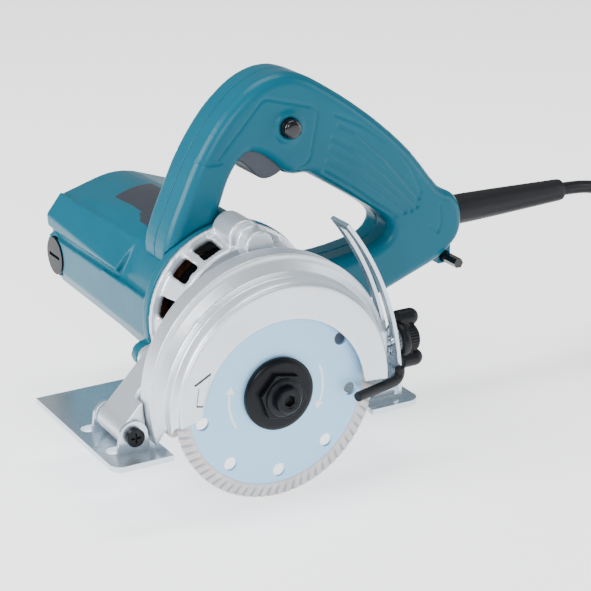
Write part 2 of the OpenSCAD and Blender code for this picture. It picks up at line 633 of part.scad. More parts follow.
module key_clip() at_spindle() color("teal") difference() {
    translate([135.5, 64, 22]) cube([8, 16, 12]);
    rod_y(3.1, 60, 90, 139.5, 26);
    handle_block();
}
module handle_block() along_y(50, 90) handle_outline();

blade_core();
blade_rim();
inner_flange();
outer_flange();
flange_bolt();
spindle();
spindle_gear();
spindle_bearings();
blade_guard();
guard_screws();
guard_stop();
gear_housing();
housing_screws();
motor_housing();
rating_plate();
fan();
armature_shaft();
armature_core();
armature_windings();
commutator();
armature_bearings();
field_core();
field_coils();
brush_holders();
carbon_brushes();
brush_caps();
handle_near();
handle_far();
handle_screws();
switch_body();
trigger();
trigger_pin();
lock_button();
cord_clamp();
inner_lead();
cord_guard();
power_cord();
cord_coil();
coil_tie();
plug_tail();
plug_body();
plug_pins();
base_plate();
pivot_screws();
depth_guide();
guide_rivets();
guide_rod();
rod_sleeve();
wing_knob();
knob_stud();
knob_washer();
hex_key();
key_clip();
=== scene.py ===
import math
import bmesh
import bpy
from mathutils import Matrix, Vector


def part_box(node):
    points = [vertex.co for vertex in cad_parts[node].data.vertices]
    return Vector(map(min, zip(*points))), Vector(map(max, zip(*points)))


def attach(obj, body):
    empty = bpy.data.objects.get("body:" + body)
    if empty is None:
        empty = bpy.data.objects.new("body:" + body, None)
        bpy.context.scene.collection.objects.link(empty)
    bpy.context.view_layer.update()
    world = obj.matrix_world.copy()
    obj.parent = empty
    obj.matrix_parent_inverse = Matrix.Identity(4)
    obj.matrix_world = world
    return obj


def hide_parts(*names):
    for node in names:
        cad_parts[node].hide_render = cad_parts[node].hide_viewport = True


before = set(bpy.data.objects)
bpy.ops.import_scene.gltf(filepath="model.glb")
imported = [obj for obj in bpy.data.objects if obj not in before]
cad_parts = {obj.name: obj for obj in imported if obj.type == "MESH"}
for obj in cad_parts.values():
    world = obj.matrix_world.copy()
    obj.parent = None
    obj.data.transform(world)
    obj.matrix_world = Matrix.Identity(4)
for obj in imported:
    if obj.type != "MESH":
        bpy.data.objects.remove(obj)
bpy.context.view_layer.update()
mm = 0.001
mergeReach = 0.002 * mm               # vertices closer than this are one
rimLow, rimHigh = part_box("blade_rim")
spindle = (rimLow + rimHigh) / 2      # middle of the blade
floorZ = rimLow.z


def at(x, y, z):
    return spindle + Vector((x, y, z)) * mm


# The camera comes first: distances are in mm from the spindle, angles in degrees.
view = {"azimuth": -28.87, "elevation": 20.27, "roll": -0.82, "distance": 927.2, "lens": 115.8,
        "across": 9.3, "up": 46.98, "sensor": 36, "near": 0.05, "far": 20}


def makeCamera():
    around, above, turn = (math.radians(view[k]) for k in ("azimuth", "elevation", "roll"))
    back = Vector((math.sin(around) * math.cos(above), -math.cos(around) * math.cos(above), math.sin(above)))
    level = Vector((math.cos(around), math.sin(around), 0))
    upright = back.cross(level)
    right = level * math.cos(turn) + upright * math.sin(turn)
    up = upright * math.cos(turn) - level * math.sin(turn)
    place = spindle + (back * view["distance"] + right * view["across"] + up * view["up"]) * mm
    data = bpy.data.cameras.new("camera")
    data.sensor_width = view["sensor"]
    data.lens = view["lens"]
    data.clip_start, data.clip_end = view["near"], view["far"]
    camera = bpy.data.objects.new("camera", data)
    camera.matrix_world = Matrix.Translation(place) @ Matrix((right, up, back)).transposed().to_4x4()
    bpy.context.scene.collection.objects.link(camera)
    bpy.context.scene.camera = camera


makeCamera()
print("camera set")


class Wire:
    # One socket of a node tree, so that shader maths can be written as an expression.
    def __init__(self, tree, socket):
        self.tree, self.socket = tree, socket

    def math(self, operation, first, second):
        node = self.tree.nodes.new("ShaderNodeMath")
        node.operation = operation
        for socket, value in zip(node.inputs, (first, second)):
            if isinstance(value, Wire):
                self.tree.links.new(value.socket, socket)
            else:
                socket.default_value = value
        return Wire(self.tree, node.outputs[0])

    def __add__(self, other): return self.math("ADD", self, other)
    def __radd__(self, other): return self.math("ADD", other, self)
    def __sub__(self, other): return self.math("SUBTRACT", self, other)
    def __rsub__(self, other): return self.math("SUBTRACT", other, self)
    def __mul__(self, other): return self.math("MULTIPLY", self, other)
    def __rmul__(self, other): return self.math("MULTIPLY", other, self)


class Recipe:
    # A material's node tree, with one method that adds any node.
    def __init__(self, name):
        self.material = bpy.data.materials.new(name)
        self.material.use_nodes = True
        self.tree = self.material.node_tree
        self.tree.nodes.clear()

    def add(self, kind, settings=None, values=None, output=0):
        node = self.tree.nodes.new(kind)
        for name, value in (settings or {}).items():
            setattr(node, name, value)
        for name, value in (values or {}).items():
            socket = node.inputs[name]
            if isinstance(value, Wire):
                self.tree.links.new(value.socket, socket)
            else:
                socket.default_value = value
        return Wire(self.tree, node.outputs[output])

    def coords(self, scale=(1, 1, 1)):
        place = self.add("ShaderNodeTexCoord", output="Object")
        return self.add("ShaderNodeMapping", {}, {"Vector": place, "Scale": scale})

    def noise(self, where, scale, detail=3.0):
        return self.add("ShaderNodeTexNoise", {}, {"Vector": where, "Scale": scale, "Detail": detail},
                        output="Fac")

    def blend(self, factor, first, second):
        # A colour mix has its colour sockets after the number and vector ones.
        node = self.tree.nodes.new("ShaderNodeMix")
        node.data_type = "RGBA"
        for socket, value in ((node.inputs[0], factor), (node.inputs[6], first), (node.inputs[7], second)):
            if isinstance(value, Wire):
                self.tree.links.new(value.socket, socket)
            else:
                socket.default_value = value if isinstance(value, (int, float)) else (*value[:3], 1)
        return Wire(self.tree, node.outputs[2])

    def finish(self, shader):
        end = self.tree.nodes.new("ShaderNodeOutputMaterial")
        self.tree.links.new(shader.socket, end.inputs["Surface"])
        return self.material


# Each finish: its colour and a darker one in its clouds, how far the clouds show, specular level if it
# isn't plain, roughness and how it varies, how metallic, grain size and depth in mm, and worn edges.
plainGloss = 0.5
finishes = {
    "tealPlastic": {"colour": (0.0, 0.098, 0.152), "shade": (0.0, 0.076, 0.122), "clouds": 0.5,
                    "gloss": 0.2, "rough": 0.36, "vary": 0.10, "metal": 0.0, "grain": 0.35, "depth": 0.010,
                    "edge": (0.01, 0.15, 0.23), "wear": 0.3, "coat": 0.03},
    "castMetal": {"colour": (0.68, 0.73, 0.78), "shade": (0.54, 0.59, 0.65), "clouds": 0.45,
                  "rough": 0.40, "vary": 0.12, "metal": 0.78, "grain": 0.45, "depth": 0.05,
                  "edge": (0.92, 0.93, 0.94), "wear": 0.5, "coat": 0.0},
    "zincSteel": {"colour": (0.56, 0.63, 0.69), "shade": (0.40, 0.47, 0.54), "clouds": 0.7,
                  "rough": 0.27, "vary": 0.16, "metal": 0.95, "grain": 1.1, "depth": 0.006,
                  "edge": (0.86, 0.90, 0.93), "wear": 0.7, "coat": 0.0},
    "groundSteel": {"colour": (0.55, 0.55, 0.56), "shade": (0.42, 0.42, 0.44), "clouds": 0.4,
                    "rough": 0.24, "vary": 0.12, "metal": 1.0, "grain": 0.5, "depth": 0.004,
                    "edge": (0.75, 0.75, 0.76), "wear": 0.4, "coat": 0.0},
    "blackSteel": {"colour": (0.004, 0.005, 0.007), "shade": (0.002, 0.0025, 0.0035), "clouds": 0.5,
                   "gloss": 0.16, "rough": 0.33, "vary": 0.14, "metal": 0.0, "grain": 0.5, "depth": 0.010,
                   "edge": (0.05, 0.058, 0.07), "wear": 0.6, "coat": 0.0},
    "blackPlastic": {"colour": (0.005, 0.006, 0.008), "shade": (0.0025, 0.003, 0.004), "clouds": 0.5,
                     "gloss": 0.2, "rough": 0.40, "vary": 0.12, "metal": 0.0, "grain": 0.5, "depth": 0.018,
                     "edge": (0.035, 0.04, 0.05), "wear": 0.4, "coat": 0.0},
    "glossBlack": {"colour": (0.003, 0.003, 0.004), "shade": (0.0015, 0.0015, 0.002), "clouds": 0.3,
                   "gloss": 0.35, "rough": 0.16, "vary": 0.08, "metal": 0.0, "grain": 0.8, "depth": 0.003,
                   "edge": (0.02, 0.02, 0.025), "wear": 0.2, "coat": 0.3},
    "greyPlastic": {"colour": (0.050, 0.058, 0.075), "shade": (0.034, 0.040, 0.052), "clouds": 0.5,
                    "gloss": 0.25, "rough": 0.42, "vary": 0.12, "metal": 0.0, "grain": 0.4, "depth": 0.014,
                    "edge": (0.12, 0.13, 0.15), "wear": 0.3, "coat": 0.0},
    "palePlastic": {"colour": (0.66, 0.63, 0.52), "shade": (0.52, 0.49, 0.40), "clouds": 0.5,
                    "rough": 0.45, "vary": 0.1, "metal": 0.0, "grain": 0.4, "depth": 0.01,
                    "edge": (0.75, 0.72, 0.62), "wear": 0.2, "coat": 0.0},
    "blackRubber": {"colour": (0.007, 0.008, 0.010), "shade": (0.004, 0.0045, 0.006), "clouds": 0.5,
                    "gloss": 0.25, "rough": 0.46, "vary": 0.14, "metal": 0.0, "grain": 0.3, "depth": 0.015,
                    "edge": (0.05, 0.05, 0.055), "wear": 0.2, "coat": 0.0},
    "copperWire": {"colour": (0.50, 0.17, 0.06), "shade": (0.30, 0.09, 0.03), "clouds": 0.6,
                   "rough": 0.33, "vary": 0.12, "metal": 0.7, "grain": 0.9, "depth": 0.06,
                   "edge": (0.6, 0.25, 0.1), "wear": 0.2, "coat": 0.3},
    "brass": {"colour": (0.66, 0.45, 0.16), "shade": (0.48, 0.31, 0.10), "clouds": 0.5,
              "rough": 0.28, "vary": 0.14, "metal": 1.0, "grain": 0.6, "depth": 0.005,
              "edge": (0.8, 0.6, 0.3), "wear": 0.3, "coat": 0.0},
    "carbon": {"colour": (0.03, 0.03, 0.032), "shade": (0.015, 0.015, 0.017), "clouds": 0.5,
               "rough": 0.6, "vary": 0.1, "metal": 0.1, "grain": 0.2, "depth": 0.01,
               "edge": (0.06, 0.06, 0.06), "wear": 0.3, "coat": 0.0},
    "plateFilm": {"colour": (0.030, 0.036, 0.050), "shade": (0.020, 0.024, 0.034), "clouds": 0.4,
                  "gloss": 0.2, "rough": 0.38, "vary": 0.1, "metal": 0.2, "grain": 0.9, "depth": 0.004,
                  "edge": (0.2, 0.2, 0.2), "wear": 0.3, "coat": 0.15},
    "whiteInk": {"colour": (0.86, 0.88, 0.90), "shade": (0.74, 0.77, 0.80), "clouds": 0.5,
                 "rough": 0.5, "vary": 0.1, "metal": 0.0, "grain": 0.3, "depth": 0.003,
                 "edge": (0.9, 0.9, 0.9), "wear": 0.1, "coat": 0.0},
}


def wireShader(recipe, look, colour, roughness, height, depth):
    normal = recipe.add("ShaderNodeBump", {}, {"Height": height, "Strength": 0.6, "Distance": depth * mm})
    values = {"Base Color": colour, "Roughness": roughness, "Metallic": look["metal"], "Normal": normal,
              "Coat Weight": look["coat"], "Coat Roughness": 0.25,
              "Specular IOR Level": look.get("gloss", plainGloss)}
    return recipe.finish(recipe.add("ShaderNodeBsdfPrincipled", {}, values))


def plainFinish(name, look):
    recipe = Recipe(name)
    where = recipe.coords()
    clouds = recipe.noise(where, 45, 4.0)
    grain = recipe.noise(where, 1000 / look["grain"], 3.0)
    worn = recipe.add("ShaderNodeAttribute", {"attribute_name": "edge"}, output="Fac")
    worn = worn * (recipe.noise(where, 220, 3.0) * 1.4 - 0.2) * look["wear"]
    colour = recipe.blend((clouds - 0.35) * look["clouds"] * 1.6 + (grain - 0.5) * 0.25,
                          look["colour"], look["shade"])
    colour = recipe.blend(worn, colour, look["edge"])
    roughness = (clouds - 0.5) * look["vary"] + (grain - 0.5) * look["vary"] * 0.6 + look["rough"]
    height = grain + clouds * 0.4
    return wireShader(recipe, look, colour, roughness, height, look["depth"])


def brushedFinish(name, look, stretch):
    # Fine scratches: noise drawn out along one direction.
    recipe = Recipe(name)
    scratches = recipe.noise(recipe.coords(stretch), 260, 5.0)
    clouds = recipe.noise(recipe.coords(), 40, 3.0)
    colour = recipe.blend((scratches - 0.3) * 0.8 + (clouds - 0.5) * look["clouds"], look["colour"],
                          look["shade"])
    worn = recipe.add("ShaderNodeAttribute", {"attribute_name": "edge"}, output="Fac")
    colour = recipe.blend(worn * 0.8, colour, look["edge"])
    roughness = (scratches - 0.5) * look["vary"] * 2 + look["rough"]
    return wireShader(recipe, look, colour, roughness, scratches, look["depth"])


def bladeFinish(name, look):
    # Rings of fine turning marks round the blade's middle.
    recipe = Recipe(name)
    place = recipe.add("ShaderNodeTexCoord", output="Object")
    fromMiddle = recipe.add("ShaderNodeVectorMath", {"operation": "SUBTRACT"}, {0: place, 1: spindle})
    flat = recipe.add("ShaderNodeVectorMath", {"operation": "MULTIPLY"}, {0: fromMiddle, 1: (1, 0, 1)})
    radius = recipe.add("ShaderNodeVectorMath", {"operation": "LENGTH"}, {0: flat}, output="Value")
    rings = recipe.add("ShaderNodeTexNoise", {"noise_dimensions": "1D"},
                       {"W": radius, "Scale": 2600.0, "Detail": 4.0}, output="Fac")
    clouds = recipe.noise(recipe.coords(), 35, 3.0)
    colour = recipe.blend((rings - 0.4) * 0.35 + (clouds - 0.45) * look["clouds"], look["colour"],
                          look["shade"])
    roughness = (rings - 0.5) * look["vary"] + (clouds - 0.5) * 0.1 + look["rough"]
    return wireShader(recipe, look, colour, roughness, rings, look["depth"])


def gritFinish(name, look):
    # Diamond grit in a soft bond: speckles of two sizes, and painted shade on the pressed bands.
    recipe = Recipe(name)
    where = recipe.coords()
    cells = recipe.add("ShaderNodeTexVoronoi", {}, {"Vector": where, "Scale": 1500.0}, output="Distance")
    coarse = recipe.noise(where, 500, 4.0)
    clouds = recipe.noise(where, 90, 2.0)
    colour = recipe.blend(cells * 0.8 + (coarse - 0.5) * 0.9, look["colour"], look["shade"])
    colour = recipe.blend((clouds - 0.45) * 1.2, colour, look["edge"])
    # The pressed bands marked on the rim get a darker colour here: painted shade.
    pressed = recipe.add("ShaderNodeAttribute", {"attribute_name": "edge"}, output="Fac")
    colour = recipe.blend(pressed * 0.8, colour, look["bandShade"])
    return wireShader(recipe, look, colour, coarse * 0.3 + look["rough"], coarse - cells, look["depth"])


def laminatedFinish(name, look):
    # Thin sheets stacked along the shaft.
    recipe = Recipe(name)
    bands = recipe.add("ShaderNodeTexWave", {"bands_direction": "Y"},
                       {"Vector": recipe.coords(), "Scale": 300.0, "Distortion": 0.4}, output="Fac")
    clouds = recipe.noise(recipe.coords(), 60, 3.0)
    colour = recipe.blend(bands * 0.6 + (clouds - 0.5) * 0.4, look["colour"], look["shade"])
    return wireShader(recipe, look, colour, clouds * 0.2 + look["rough"], bands, look["depth"])


steelLook = {"colour": (0.36, 0.62, 0.86), "shade": (0.30, 0.54, 0.80), "clouds": 0.5, "rough": 0.38,
             "vary": 0.14, "metal": 0.25, "depth": 0.006, "coat": 0.0}
# The rim's pressed bands are painted in the darker bluish grey below as shade.
rimLook = {"colour": (0.66, 0.61, 0.60), "shade": (0.50, 0.46, 0.45), "edge": (0.76, 0.76, 0.78),
           "bandShade": (0.24, 0.29, 0.36), "rough": 0.45, "metal": 0.25, "depth": 0.05, "coat": 0.0}
sheetLook = {"colour": (0.45, 0.45, 0.46), "shade": (0.2, 0.2, 0.21), "rough": 0.35, "metal": 0.9,
             "depth": 0.03, "coat": 0.0}
zincLook = {"colour": (0.58, 0.66, 0.73), "shade": (0.40, 0.48, 0.56), "clouds": 0.6, "rough": 0.24,
            "vary": 0.12, "metal": 0.85, "depth": 0.004, "coat": 0.0, "edge": (0.88, 0.93, 0.97)}
materials = {name: plainFinish(name, look) for name, look in finishes.items()}
materials["bladeSteel"] = bladeFinish("bladeSteel", steelLook)
materials["gritRim"] = gritFinish("gritRim", rimLook)
materials["laminations"] = laminatedFinish("laminations", sheetLook)
materials["zincSheet"] = brushedFinish("zincSheet", zincLook, (0.25, 3.0, 1.0))
print("materials made:", len(materials))


def linked(name, mesh):
    piece = bpy.data.objects.new(name, mesh)
    bpy.context.scene.collection.objects.link(piece)
    return piece


def meshOf(bm, name):
    mesh = bpy.data.meshes.new(name)
    bm.to_mesh(mesh)
    bm.free()
    return mesh


def cadCopy(node):
    # A merged copy of a CAD node's mesh.
    bm = bmesh.new()
    bm.from_mesh(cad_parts[node].data)
    bmesh.ops.remove_doubles(bm, verts=bm.verts, dist=mergeReach)
    return bm


def applied(mesh, modifiers):
    # The mesh with its modifiers applied; each is (type, settings).
    holder = linked("holder", mesh)
    for kind, settings in modifiers:
        modifier = holder.modifiers.new(kind.lower(), kind)
        for key, value in settings.items():
            setattr(modifier, key, value)
    shaped = bpy.data.meshes.new_from_object(
        holder.evaluated_get(bpy.context.evaluated_depsgraph_get()))
    bpy.data.objects.remove(holder)
    return shaped


def cut(bm, cutter):
    tool = linked("tool", meshOf(cutter, "tool"))
    tool.hide_render = True
    mesh = applied(meshOf(bm, "cut"), [("BOOLEAN", {"operation": "DIFFERENCE", "object": tool,
                                                    "solver": "EXACT", "use_self": True})])
    bpy.data.objects.remove(tool)
    left = bmesh.new()
    left.from_mesh(mesh)
    return left


def softened(bm, voxel, rounds, name):
    # Remeshes closed solids into one skin and rounds its edges. Its convex edges go into "edge".
    mesh = applied(meshOf(bm, name), [("REMESH", {"mode": "VOXEL", "voxel_size": voxel * mm,
                                                  "adaptivity": 0.0})])
    rough = [v.co.copy() for v in mesh.vertices]
    normals = [v.normal.copy() for v in mesh.vertices]
    mesh = applied(mesh, [("SMOOTH", {"factor": 0.5, "iterations": rounds})])
    edge = mesh.attributes.new("edge", "FLOAT", "POINT")
    reach = voxel * mm * 0.8
    for i, vertex in enumerate(mesh.vertices):
        sunk = (rough[i] - vertex.co).dot(normals[i])
        edge.data[i].value = min(max(sunk / reach - 0.15, 0), 1)
    mesh.shade_smooth()
    mesh.name = name
    return mesh


def bevelled(bm, width, name, segments=3, angle=32):
    # For small crisp parts: rounds the sharp edges only.
    bmesh.ops.dissolve_limit(bm, angle_limit=math.radians(0.5), verts=bm.verts, edges=bm.edges)
    mesh = meshOf(bm, name)
    mesh.shade_smooth()
    return applied(mesh, [
        ("BEVEL", {"width": width * mm, "segments": segments, "limit_method": "ANGLE",
                   "angle_limit": math.radians(angle), "use_clamp_overlap": True, "profile": 0.5}),
        ("WEIGHTED_NORMAL", {"keep_sharp": True})])


def piecePut(mesh, name, material, slot, body, *nodes):
    # Puts a finished mesh in the scene, on its body and in place of its CAD nodes.
    mesh.name = name
    piece = linked(name, mesh)
    piece.data.materials.clear()
    piece.data.materials.append(materials[material])
    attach(piece, body)
    if nodes:
        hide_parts(*nodes)
    return piece


def turned(profile, middle, axis, steps=96):
    # A solid of revolution: profile holds (along the axis, radius) in mm from middle.
    bm = bmesh.new()
    axis = Vector(axis).normalized()
    side = axis.orthogonal().normalized()
    ring = [bm.verts.new(middle + (axis * a + side * r) * mm) for a, r in profile]
    edges = [bm.edges.new(pair) for pair in zip(ring, ring[1:])]
    bmesh.ops.spin(bm, geom=ring + edges, cent=middle, axis=axis, angle=2 * math.pi, steps=steps,
                   use_merge=True)
    bmesh.ops.remove_doubles(bm, verts=bm.verts, dist=mergeReach)
    bmesh.ops.recalc_face_normals(bm, faces=bm.faces)
    return bm


def rod(bm, start, end, radius, endRadius, sides):
    # A cone or cylinder between two points given in mm from the spindle.
    a, b = at(*start), at(*end)
    way = b - a
    place = Matrix.Translation((a + b) / 2) @ way.to_track_quat("Z", "Y").to_matrix().to_4x4()
    bmesh.ops.create_cone(bm, cap_ends=True, segments=sides, radius1=radius * mm,
                          radius2=endRadius * mm, depth=way.length, matrix=place)


def ball(bm, middle, radius, sides):
    place = Matrix.Translation(at(*middle)) @ Matrix.Diagonal((*(Vector((radius,) * 3) * mm), 1))
    bmesh.ops.create_uvsphere(bm, u_segments=sides, v_segments=sides // 2, radius=1, matrix=place)


def slabOf(bm, outline, y0, y1):
    # An outline in x and z, extruded from y0 to y1.
    face = bm.faces.new([bm.verts.new(at(x, y0, z)) for x, z in outline])
    made = bmesh.ops.extrude_face_region(bm, geom=[face])["geom"]
    moved = [g for g in made if isinstance(g, bmesh.types.BMVert)]
    bmesh.ops.translate(bm, verts=moved, vec=(0, (y1 - y0) * mm, 0))
    bmesh.ops.recalc_face_normals(bm, faces=bm.faces)


gentleBend = 0.16                     # 1 - the cosine of the bend that still counts as flat


def edgeMarked(mesh, reach):
    # For meshes made without a remesh: "edge" is 1 at vertices on sharp bends and 0 on gentle ones.
    edge = mesh.attributes.new("edge", "FLOAT", "POINT")
    middles = {}
    for face in mesh.polygons:
        for v in face.vertices:
            middles.setdefault(v, []).append(face.normal.copy())
    for v, normals in middles.items():
        spread = max((1 - normals[0].dot(n)) for n in normals)
        edge.data[v].value = min(max(spread - gentleBend, 0) * reach, 1)
    return mesh


def mixed(mesh, other, weight):
    # Each vertex lies between mesh (weight 0) and other (weight 1), which have the same faces.
    for a, b in zip(mesh.vertices, other.vertices):
        a.co = a.co.lerp(b.co, weight((a.co - spindle) / mm))
    return mesh


def engraved(mesh, lines, facing, low, high):
    # Presses lines (or raises them, with a depth below 0) into the side that looks along facing in Y.
    found = [v for v in mesh.vertices
             if low < (v.co.y - spindle.y) / mm < high and v.normal.y * facing > 0.35]
    for line in lines:
        points = [Vector(p) for p in line["points"]]
        reach = line["width"]
        lowX, highX = (f(p.x for p in points) + s * reach for f, s in ((min, -1), (max, 1)))
        for v in found:
            here = Vector(((v.co.x - spindle.x) / mm, (v.co.z - spindle.z) / mm))
            if not lowX < here.x < highX:
                continue
            away = reach
            for a, b in zip(points, points[1:]):
                along = b - a
                t = min(max((here - a).dot(along) / along.length_squared, 0), 1)
                away = min(away, (here - a - along * t).length)
            if away < reach:
                v.co.y -= facing * line["depth"] * (1 - (away / reach) ** 2) * mm
    return mesh


def makeStudio():
    bm = bmesh.new()
    bmesh.ops.create_grid(bm, x_segments=1, y_segments=1, size=studio["floorSize"],
                          matrix=Matrix.Translation((0, 0, floorZ - studio["floorGap"])))
    floor = linked("floor", meshOf(bm, "floor"))
    recipe = Recipe("floorPaint")
    clouds = recipe.noise(recipe.coords(), 3, 2.0)
    colour = recipe.blend(clouds * 0.2, (0.95, 0.955, 0.96), (0.93, 0.935, 0.94))
    floor.data.materials.append(recipe.finish(recipe.add(
        "ShaderNodeBsdfPrincipled", {}, {"Base Color": colour, "Roughness": 0.8, "Emission Color": colour,
                                         "Emission Strength": studio["floorGlow"]})))
    for name, place, size, power, tint in studio["lamps"]:
        data = bpy.data.lights.new(name, "AREA")
        data.shape, data.size, data.size_y = "RECTANGLE", size[0], size[1]
        data.energy, data.color = power, tint
        lamp = bpy.data.objects.new(name, data)
        lamp.location = spindle + Vector(place)
        aim = spindle + Vector(studio["aim"]) - lamp.location
        lamp.rotation_euler = aim.to_track_quat("-Z", "Y").to_euler()
        bpy.context.scene.collection.objects.link(lamp)
    world = bpy.data.worlds.new("studio")
    world.use_nodes = True
    world.node_tree.nodes["Background"].inputs[0].default_value = (*studio["sky"], 1)
    world.node_tree.nodes["Background"].inputs[1].default_value = studio["skyPower"]
    bpy.context.scene.world = world


# Lamps: name, place in metres from the spindle, size, power in watts, tint.
studio = {"sky": (0.97, 0.985, 1.0), "skyPower": 0.45, "floorGlow": 1.3, "floorSize": 6,
          "floorGap": 0.0002, "aim": (0.05, 0.05, 0.02),
          "lamps": [("keyLamp", (-1.3, 0.2, 0.75), (0.5, 0.9), 26, (1, 1, 1)),
                    ("topLamp", (0.1, 0.2, 1.5), (1.2, 0.3), 13, (1, 1, 1)),
                    ("frontLamp", (-0.5, -1.3, 0.7), (0.4, 0.4), 10, (1, 1, 1)),
                    ("sideLamp", (1.3, -0.6, 0.4), (0.3, 1.0), 6, (0.95, 0.98, 1.0))]}
makeStudio()


# Points are in mm from the spindle; each turn of the coil is its radius and height.
lead = {"diameter": 7.5, "length": 2.1, "exit": (222, 72, 48.5), "middle": (292, 34),
        "turns": [(41, -38.25), (48.5, -38.25), (44.75, -44.75), (37.25, -44.75), (33.5, -51.25),
                  (41, -51.25), (48.5, -51.25), (56.2, -51.25)],
        "start": [(203, 72, 48.5), (212, 72, 48.5), (222, 72, 48.5), (230, 72, 48.2), (238, 72, 47.5),
                  (247, 72, 45.5), (256, 72, 41), (263, 72, 34.5), (268, 72, 26), (270.5, 72, 16),
                  (272, 72.2, 5), (273.5, 72.5, -6), (276, 73, -16.5), (280.5, 73.9, -25.5),
                  (287, 74.7, -32.5), (295, 75, -36.8)],
        "end": [(348.2, 29, -51.25), (347.2, 19, -51), (345.6, 9, -50), (344.2, -1, -48),
                (343.2, -11, -45.5), (343, -22, -43)],
        "steps": 24, "firstAngle": 72, "lastAngle": 5, "slideFrom": 310, "slideOver": 50,
        "plugX": 343, "plugZ": -43, "plugMouth": -20, "pinGap": 9.5, "pinRadius": 2.4}


def leadRoute():
    # The turns run clockwise from the coil's +Y side; each slides over to the next in its last part.
    middle, turns = lead["middle"], lead["turns"]
    route = list(lead["start"])
    steps, firstAngle = lead["steps"], lead["firstAngle"]
    whole = (firstAngle - lead["lastAngle"]) / 360 + len(turns) - 1
    count = round(whole * steps)
    for i in range(count + 1):
        turn = i / steps
        k = min(int(turn), len(turns) - 1)
        slide = max((turn - k) * 360 - lead["slideFrom"], 0) / lead["slideOver"] if k < len(turns) - 1 else 0
        slide = slide * slide * (3 - 2 * slide)  # eases in and out
        after = turns[min(k + 1, len(turns) - 1)]
        radius, height = (turns[k][j] + (after[j] - turns[k][j]) * slide for j in (0, 1))
        angle = math.radians(firstAngle - whole * 360 * i / count)
        route.append((middle[0] + radius * math.cos(angle), middle[1] + radius * math.sin(angle), height))
    return route + lead["end"]


def jacketFinish():
    # Soft sheath: a fine bloom of dust and faint long ripples.
    look = finishes["blackRubber"]
    recipe = Recipe("leadJacket")
    where = recipe.coords()
    ripples = recipe.noise(where, 120, 2.0)
    grain = recipe.noise(where, 2600, 3.0)
    colour = recipe.blend(ripples * 0.8, look["colour"], look["shade"])
    colour = recipe.blend((grain - 0.55) * 0.5, colour, (0.09, 0.09, 0.095))
    return wireShader(recipe, look, colour, ripples * 0.16 + 0.30, ripples * 0.5 + grain * 0.3, 0.02)


def makePlug():
    # Round moulded plug with a finger grip, a shoulder and ribs on its sleeve.
    profile = [(-34, 0), (-34, 10.8), (-33.2, 11.8), (-31, 12), (-28, 11.6), (-25, 10.6), (-21, 10.2),
               (-17, 10.8), (-14.6, 11.4), (-13.6, 11.0), (-13, 9.2), (-12, 7.9), (-10.6, 7.9), (-10.2, 7.1),
               (-9.2, 7.1), (-8.8, 7.5), (-7.4, 7.5), (-7.0, 6.7), (-6, 6.7), (-5.6, 7.0), (-4.2, 7.0),
               (-3.8, 6.2), (-2.6, 6.0), (-0.8, 5.5), (0, 4.8), (0, 0)]
    plugX, plugZ, thick = lead["plugX"], lead["plugZ"], lead["pinRadius"]
    body = turned(profile, at(plugX, lead["plugMouth"], plugZ), (0, 1, 0), 72)
    plug = piecePut(meshOf(body, "plugBody"), "plugBody", "blackPlastic", "black_rubber", "saw",
                    "plug_body")
    plug.data.shade_smooth()
    bm = bmesh.new()
    for way in (-1, 1):
        x = plugX + way * lead["pinGap"]
        rod(bm, (x, -54, plugZ), (x, -71.6, plugZ), thick, thick, 32)
        rod(bm, (x, -71.6, plugZ), (x, -73, plugZ), thick, thick - 1, 32)
    pins = piecePut(meshOf(bm, "plugPins"), "plugPins", "brass", "brass", "saw", "plug_pins")
    tie = piecePut(bevelled(cadCopy("coil_tie"), 0.35, "coilTie"), "coilTie", "blackPlastic",
                   "black_plastic", "saw", "coil_tie")
    return [plug, pins, tie]


def makeLead():
    curve = bpy.data.curves.new("mainsLead", "CURVE")
    curve.dimensions = "3D"
    curve.bevel_depth = lead["diameter"] / 2 * mm
    curve.bevel_resolution = 4
    curve.resolution_u = 4
    curve.use_fill_caps = True
    route = leadRoute()
    spline = curve.splines.new("BEZIER")
    spline.bezier_points.add(len(route) - 1)
    for point, place in zip(spline.bezier_points, route):
        point.co = at(*place)
        point.handle_left_type = point.handle_right_type = "AUTO"
    piece = bpy.data.objects.new("mainsLead", curve)
    bpy.context.scene.collection.objects.link(piece)
    curve.materials.append(jacketFinish())
    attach(piece, "saw")
    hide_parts("power_cord", "cord_coil", "plug_tail")
    makePlug()


makeLead()
print("lead made")


# Radii and depths in mm, the twist in radians; the rim has this many bands pressed in.
bladeLook = {"core": 48, "rim": 55, "bands": 72, "bandDepth": 0.24, "twist": 0.05, "coreEdge": 0.18,
             "nick": 0.35, "face": -0.9, "arrowWidth": 1.3, "arrowHead": 2.6, "ink": 0.1}


def makeCore():
    piecePut(bevelled(cadCopy("blade_core"), bladeLook["coreEdge"], "bladeCore", 2), "bladeCore",
             "bladeSteel", "steel_core", "blade_set", "blade_core")


